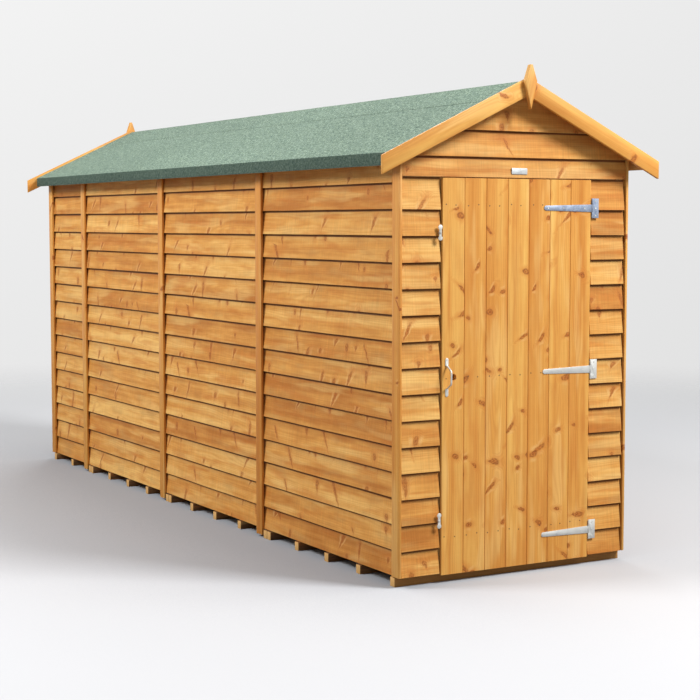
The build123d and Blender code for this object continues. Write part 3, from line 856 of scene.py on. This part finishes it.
# Roof felt: one sheet folded over the ridge and down over each eave, with a cap strip along the ridge
def feltSheet(name, halfRun, lift, thick, drop):
    low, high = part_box("roof_felt_left")
    length = high.y - low.y
    angle = math.atan(roof["slope"])
    deselectAll()
    bpy.ops.mesh.primitive_grid_add(
        x_subdivisions=2 * roof["cutsDown"], y_subdivisions=roof["cutsAlong"], size=1,
        location=(0, (low.y + high.y) / 2, high.z + lift),
    )
    sheet = bpy.context.active_object
    sheet.name = name
    sheet.scale = (2 * halfRun, length, 1)
    applyPlace(sheet)
    for side in (-1, 1):
        editVerts(sheet, lambda p: p.x * side > 0.0001)
        closeEdit()
        ridge = Matrix.Translation((0, 0, high.z + lift))
        turn = ridge @ Matrix.Rotation(side * angle, 4, "Y") @ Matrix.Translation((0, 0, -high.z - lift))
        for vertex in sheet.data.vertices:
            if vertex.select:
                vertex.co = turn @ vertex.co
    if drop:
        reach = max(v.co.x for v in sheet.data.vertices)
        editEdges(sheet, lambda a, b: min(abs(a.x), abs(b.x)) > reach - roof["near"])
        bpy.ops.mesh.extrude_region_move(TRANSFORM_OT_translate={"value": (0, 0, -drop)})
        closeEdit()
    applyModifier(sheet, "SOLIDIFY", thickness=thick, offset=-1)
    easeEdges(sheet, roof["fold"] * 0.6, 3, 20)
    rippled(sheet, "feltRipple", roof["rippleScale"], -roof["ripple"], 0.0)
    shadeByAngle(sheet, 50)
    return sheet


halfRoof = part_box("roof_felt_right")[1].x / math.cos(math.atan(roof["slope"]))
feltMain = feltSheet("roofFelt", halfRoof, 0, roof["felt"], roof["drop"])
finishPiece(feltMain, "shed", "felt", feltGreen, "roof_felt_left", "roof_felt_right")
feltCap = feltSheet("ridgeFelt", roof["capReach"], roof["capStep"], roof["capStep"], 0)
finishPiece(feltCap, "shed", "felt", feltGreen)
print("roof made")


# Ironmongery: bevelled copies of the hinges, handle and turn buttons
def metalFrom(node, name, body, material, edge):
    metal = mergedCopy(node, name)
    easeEdges(metal, edge, 2, 35)
    shadeByAngle(metal, 40)
    return finishPiece(metal, body, "ironmongery", material, node)


metalFrom("door_hinge_straps", "doorHingeStraps", "door", zincPlate, 0.0005)
metalFrom("hinge_plates", "hingePlates", "shed", zincPlate, 0.0004)
metalFrom("pull_handle", "pullHandle", "door", brightZinc, 0.0004)
metalFrom("turn_button_lower", "turnButtonLower", "turn_button_lower", brightZinc, 0.0005)
metalFrom("turn_button_upper", "turnButtonUpper", "turn_button_upper", brightZinc, 0.0005)
metalFrom("turn_button_screws", "turnButtonScrews", "shed", brightZinc, 0.0004)

# Name plate: a bare plate on the board over the door
plate = {
    "low": (-0.039, 1.736), "high": (0.042, 1.762), "thick": 0.0012, "proud": 0.0004, "bedded": 0.006,
    "corner": 0.002, "edge": 0.0004,
}


def namePlate():
    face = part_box("front_gable_cladding")[0].y
    (left, bottom), (right, top) = plate["low"], plate["high"]
    front = face - plate["thick"] - plate["proud"]
    obj = newBox("namePlate", (left, front, bottom), (right, face + plate["bedded"], top))
    editEdges(obj, lambda a, b: abs(a.y - b.y) > plate["bedded"] / 2)
    bpy.ops.mesh.bevel(offset=plate["corner"], segments=4)
    closeEdit()
    easeEdges(obj, plate["edge"], 2, 40)
    shadeByAngle(obj)
    return finishPiece(obj, "shed", "ironmongery", plateZinc)


namePlate()

# Fixings: flat nail heads across the door at each ledge, dished screw heads on the ironmongery
fixings = {
    "nailRadius": 0.0027, "nailProud": 0.0005, "screwRadius": 0.0036, "screwProud": 0.0011,
    "nailAcross": (0.16, 0.6), "nailWander": 0.004, "strapScrews": (0.152, 0.236, 0.35),
    "strapFace": -2.1655, "strapEnd": 0.124, "strapHalf": 0.022, "plateScrews": (-0.031, 0, 0.031),
    "plateMiddle": 0.4145, "plateFace": -2.162, "handleScrews": (0.807, 0.953), "handleMiddle": -0.368,
}


def fixingHead(radius, proud):
    # a short round head that faces the door side, dished in the middle
    deselectAll()
    bpy.ops.mesh.primitive_cylinder_add(
        vertices=16, radius=radius, depth=2 * proud, location=(0, 0, 0), rotation=(math.radians(90), 0, 0)
    )
    head = bpy.context.active_object
    applyPlace(head)
    editVerts(head, lambda p: p.y < 0)
    bpy.ops.mesh.inset(thickness=radius * 0.5, depth=-proud * 0.6)
    closeEdit()
    easeEdges(head, proud * 0.35, 2, 50)
    return head


def putHeads(name, head, spots, body, material):
    heads = []
    for spot in spots:
        twin = copyOf(head, name + "Head")
        twin.data.transform(Matrix.Translation(spot))
        heads.append(twin)
    whole = joinAll(heads, name)
    shadeByAngle(whole, 50)
    return finishPiece(whole, body, "ironmongery", material)


def rowsOf(node, gap=0.2):
    # the middle heights of the separate pieces in a node, from the lowest up
    heights = sorted({round(v.co.z, 4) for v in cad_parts[node].data.vertices})
    rows = [[heights[0], heights[0]]]
    for z in heights[1:]:
        if z - rows[-1][1] > gap:
            rows.append([z, z])
        rows[-1][1] = z
    return [(low + high) / 2 for low, high in rows]


leafLow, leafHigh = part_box("door_leaf")
ledgeRows = rowsOf("door_ledges")
strapRows = rowsOf("hinge_plates")
nailSpots = []
for z in ledgeRows:
    for number in range(len(door["tones"])):
        for share in fixings["nailAcross"]:
            x = leafLow.x + (number + share) * (leafHigh.x - leafLow.x) / len(door["tones"])
            x += dice.uniform(-1, 1) * fixings["nailWander"]
            byStrap = any(abs(z - row) < fixings["strapHalf"] for row in strapRows)
            if x <= fixings["strapEnd"] or not byStrap:  # a strap covers the rest
                nailSpots.append((x, leafLow.y, z + dice.uniform(-1, 1) * fixings["nailWander"]))
nailHead = fixingHead(fixings["nailRadius"], fixings["nailProud"])
putHeads("doorNails", nailHead, nailSpots, "door", nailSteel)
screwHead = fixingHead(fixings["screwRadius"], fixings["screwProud"])
strapSpots = [(x, fixings["strapFace"], z) for z in strapRows for x in fixings["strapScrews"]]
handleSpots = [(fixings["handleMiddle"], fixings["strapFace"], z) for z in fixings["handleScrews"]]
putHeads("doorScrews", screwHead, strapSpots + handleSpots, "door", brightZinc)
plateHeights = [z + up for z in strapRows for up in fixings["plateScrews"]]
plateSpots = [(fixings["plateMiddle"], fixings["plateFace"], z) for z in plateHeights]
putHeads("plateScrews", screwHead, plateSpots, "shed", brightZinc)
discard(nailHead)
discard(screwHead)
print("ironmongery made:", len(nailSpots), "nails")


# Stage: floor, world, lamps and camera
stage = {
    "floorSize": 60, "floorColour": paint(211, 212, 214), "floorFaint": paint(209, 210, 213),
    "floorBounce": paint(132, 134, 140), "floorFades": (3.4, 9.5), "floorRoughness": 0.9, "floorGloss": 0.1,
    "floorShade": paint(116, 128, 143), "shadeDepth": 0.5, "shadeReach": 2.4, "shadeSide": (0.2, -0.8),
    "shadeElsewhere": 0.45, "worldLight": 0.34,
    "leftTop": paint(243, 243, 243), "leftLow": paint(231, 231, 231),
    "rightTop": paint(235, 235, 235), "rightLow": paint(226, 226, 226),
    "rightward": (0.868, -0.4965, 0.0), "seam": (-0.22, 0.22), "horizon": (-0.11, 0.135),
}
lamps = {  # where each stands, where it points, its size and its watts
    "keyLamp": ((3.8, -6.9, 7.3), (0, -1.0, 1.0), 2.6, 960),
    "sideLamp": ((-6.4, 0.8, 6.2), (0, 0.2, 1.0), 2.8, 505),
    "backLamp": ((3.5, 8.0, 6.5), (0, 1.0, 1.0), 2.5, 170),
}
camera = {"place": (-4.0425, -7.7666, 1.5247), "yaw": 0.51962, "dip": 0.07894, "lens": 82.05, "sensor": 36.0}


def pageFloor():
    deselectAll()
    bpy.ops.mesh.primitive_plane_add(size=stage["floorSize"], location=(0, 0, 0))
    floor = bpy.context.active_object
    floor.name = "studioFloor"
    material, tree, shader = newMaterial("paleFloor")
    place = put(tree, "ShaderNodeTexCoord")["Object"]
    faint = noise(tree, place, 0.5, 1)
    colour = blended(tree, faint, stage["floorFaint"], stage["floorColour"])
    # a soft shade gathers round the foot of the shed, most on the side away from the key lamp
    openness = put(tree, "ShaderNodeAmbientOcclusion", {"Distance": stage["shadeReach"]}, samples=8)["AO"]
    across = put(tree, "ShaderNodeSeparateXYZ", {0: place})[0]
    closed = between(tree, openness, 1.0, 0.5, 0, stage["shadeDepth"])
    side = between(tree, across, *stage["shadeSide"], stage["shadeElsewhere"], 1)
    colour = blended(tree, work(tree, "MULTIPLY", closed, side), colour, stage["floorShade"])
    seen = put(tree, "ShaderNodeLightPath")["Is Camera Ray"]
    colour = blended(tree, seen, stage["floorBounce"], colour)
    tree.links.new(colour, shader.inputs["Base Color"])
    shader.inputs["Roughness"].default_value = stage["floorRoughness"]
    shader.inputs["Specular IOR Level"].default_value = stage["floorGloss"]
    away = put(tree, "ShaderNodeVectorMath", {0: place}, operation="LENGTH")["Value"]
    clear = put(tree, "ShaderNodeBsdfTransparent")[0]
    share = between(tree, away, *stage["floorFades"])
    mix = put(tree, "ShaderNodeMixShader", {0: share, 1: shader.outputs[0], 2: clear})[0]
    output = next(n for n in tree.nodes if n.type == "OUTPUT_MATERIAL")
    tree.links.new(mix, output.inputs["Surface"])
    floor.data.materials.append(material)


def paleWorld():
    world = bpy.data.worlds.new("paleWorld")
    bpy.context.scene.world = world
    world.use_nodes = True
    tree = world.node_tree
    tree.nodes.clear()
    path = put(tree, "ShaderNodeLightPath")
    direction = put(tree, "ShaderNodeTexCoord")["Generated"]
    height = put(tree, "ShaderNodeSeparateXYZ", {0: direction})[2]
    turned = put(tree, "ShaderNodeVectorMath", {0: direction, 1: stage["rightward"]}, operation="DOT_PRODUCT")
    rightness = between(tree, turned["Value"], *stage["seam"], 0, 1, "LINEAR")
    upward = between(tree, height, *stage["horizon"], 0, 1, "LINEAR")
    leftPart = blended(tree, upward, stage["leftLow"], stage["leftTop"])
    rightPart = blended(tree, upward, stage["rightLow"], stage["rightTop"])
    colour = blended(tree, rightness, leftPart, rightPart)
    seen = put(tree, "ShaderNodeBackground", {"Color": colour, "Strength": 1.0})[0]
    light = put(tree, "ShaderNodeBackground", {"Color": (1, 1, 1, 1), "Strength": stage["worldLight"]})[0]
    through = work(tree, "MAXIMUM", path["Is Glossy Ray"], path["Is Transmission Ray"])
    direct = work(tree, "MAXIMUM", path["Is Camera Ray"], through)
    mix = put(tree, "ShaderNodeMixShader", {0: direct, 1: light, 2: seen})[0]
    output = tree.nodes.new("ShaderNodeOutputWorld")
    tree.links.new(mix, output.inputs["Surface"])


def softLamp(name, location, target, size, watts):
    lamp = bpy.data.lights.new(name, "AREA")
    lamp.shape = "SQUARE"
    lamp.size = size
    lamp.energy = watts
    obj = bpy.data.objects.new(name, lamp)
    bpy.context.scene.collection.objects.link(obj)
    obj.location = location
    obj.visible_camera = False
    obj.rotation_euler = (Vector(target) - Vector(location)).to_track_quat("-Z", "Y").to_euler()
    return obj


pageFloor()
paleWorld()
for name, (location, target, size, watts) in lamps.items():
    softLamp(name, location, target, size, watts)

shotCamera = bpy.data.cameras.new("shotCamera")
shotCamera.lens = camera["lens"]
shotCamera.sensor_width = camera["sensor"]
shot = bpy.data.objects.new("shotCamera", shotCamera)
bpy.context.scene.collection.objects.link(shot)
shot.location = camera["place"]
shot.rotation_euler = (math.radians(90) - camera["dip"], 0, -camera["yaw"])
bpy.context.scene.camera = shot
bpy.context.scene.view_settings.view_transform = "Standard"
print("stage, lamps and camera set")
